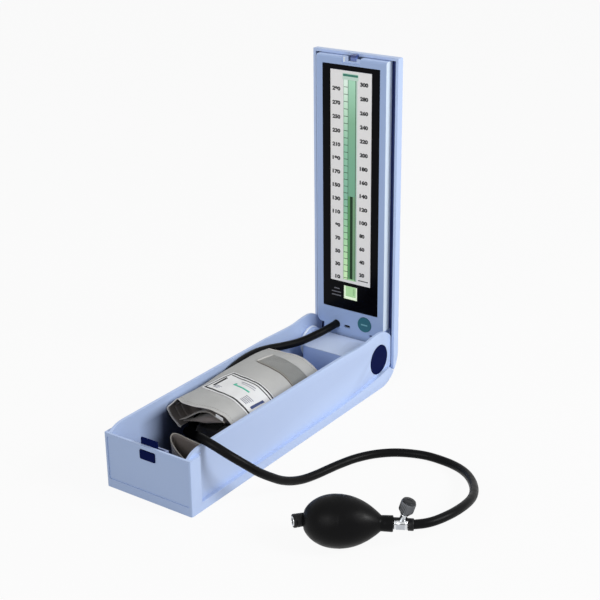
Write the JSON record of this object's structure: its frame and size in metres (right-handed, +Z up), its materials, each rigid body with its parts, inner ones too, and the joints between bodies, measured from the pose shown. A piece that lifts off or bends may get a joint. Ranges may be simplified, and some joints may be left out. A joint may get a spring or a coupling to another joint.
{
  "type": "mercury-free desk blood pressure monitor",
  "caption": "Long case standing open: tall lid with an LCD column scale, cuff stowed in the tray, rubber hoses, squeeze bulb with chrome release valve beside it.",
  "frame": {"origin": "centre of the case's footprint, on the surface it stands on", "axes": "+Z up, +Y from the latch end to the hinge end, +X to the case's right side, where the bulb lies"},
  "size_m": [0.3185, 0.3577, 0.357],
  "materials": {
    "case_blue": "satin",
    "inner_blue": "satin",
    "navy": "satin",
    "panel_black": "gloss",
    "plate_white": "matt",
    "screen_green": "gloss",
    "light_guide": "gloss",
    "board_green": "matt",
    "dark_plastic": "matt",
    "teal": "satin",
    "steel": "brushed",
    "chrome": "polished",
    "rubber": "satin",
    "cuff_grey": "woven",
    "cuff_dark": "woven",
    "cell_gold": "gloss"
  },
  "bodies": {
    "base": {"base_case": "case_blue", "deck_cover": "inner_blue", "deck_screw_1": "steel", "deck_screw_2": "steel", "hinge_pin_right": "steel", "hinge_pin_left": "steel", "hinge_cap_right": "navy", "hinge_cap_left": "navy", "latch_guide": "inner_blue", "latch_spring": "steel", "cuff_wrap": "cuff_grey", "cuff_inner_fold_upper": "cuff_dark", "cuff_inner_fold_lower": "cuff_dark", "cuff_bladder_bundle": "cuff_grey", "cuff_tail_fold": "cuff_dark", "bulb": "rubber", "bulb_inlet_valve": "dark_plastic", "valve_body": "chrome", "bulb_hose": "rubber", "manometer_hose": "rubber"},
    "lid": {"lid_shell": "case_blue", "lid_front": "case_blue", "lid_tail": "inner_blue", "display_panel": "panel_black", "scale_plate": "plate_white", "lcd_glass": "screen_green", "backlight": "light_guide", "main_board": "board_green", "pressure_sensor": "dark_plastic", "inlet_nipple": "dark_plastic", "sensor_tube": "rubber", "tact_switch": "dark_plastic", "button_board": "board_green", "power_socket": "dark_plastic", "battery_holder": "dark_plastic", "battery_cell_1": "cell_gold", "battery_cell_2": "cell_gold", "battery_contact_low": "steel", "battery_contact_high": "steel", "lid_screw_1": "steel", "lid_screw_2": "steel", "lid_screw_3": "steel", "lid_screw_4": "steel"},
    "latch": {"latch_button": "navy"},
    "power_button": {"power_button": "teal"},
    "valve_knob": {"valve_knob": "chrome"},
    "battery_door": {"battery_door": "case_blue"}
  },
  "joints": [
    {"name": "lid_hinge", "type": "hinge", "parent": "base", "child": "lid", "pos_m": [0, 0.1455, 0.033], "axis": [1, 0, 0], "range_deg": [0, 84], "deforming": ["manometer_hose"]},
    {"name": "latch_press", "type": "slide", "parent": "base", "child": "latch", "axis": [0, 1, 0], "range_m": [0, 0.0018], "stiffness_N_per_m": 400, "deforming": ["latch_spring"]},
    {"name": "power_press", "type": "slide", "parent": "lid", "child": "power_button", "axis": [0, 1, 0], "range_m": [0, 0.001], "stiffness_N_per_m": 600},
    {"name": "valve_turn", "type": "hinge", "parent": "base", "child": "valve_knob", "pos_m": [0.23317, -0.11416, 0.02365], "axis": [0.2555, 0.1422, 0.9563], "range_deg": [0, 540]},
    {"name": "battery_door_hinge", "type": "hinge", "parent": "lid", "child": "battery_door", "pos_m": [0.026, 0.1785, 0.1353], "axis": [-1, 0, 0], "range_deg": [0, 90]}
  ]
}
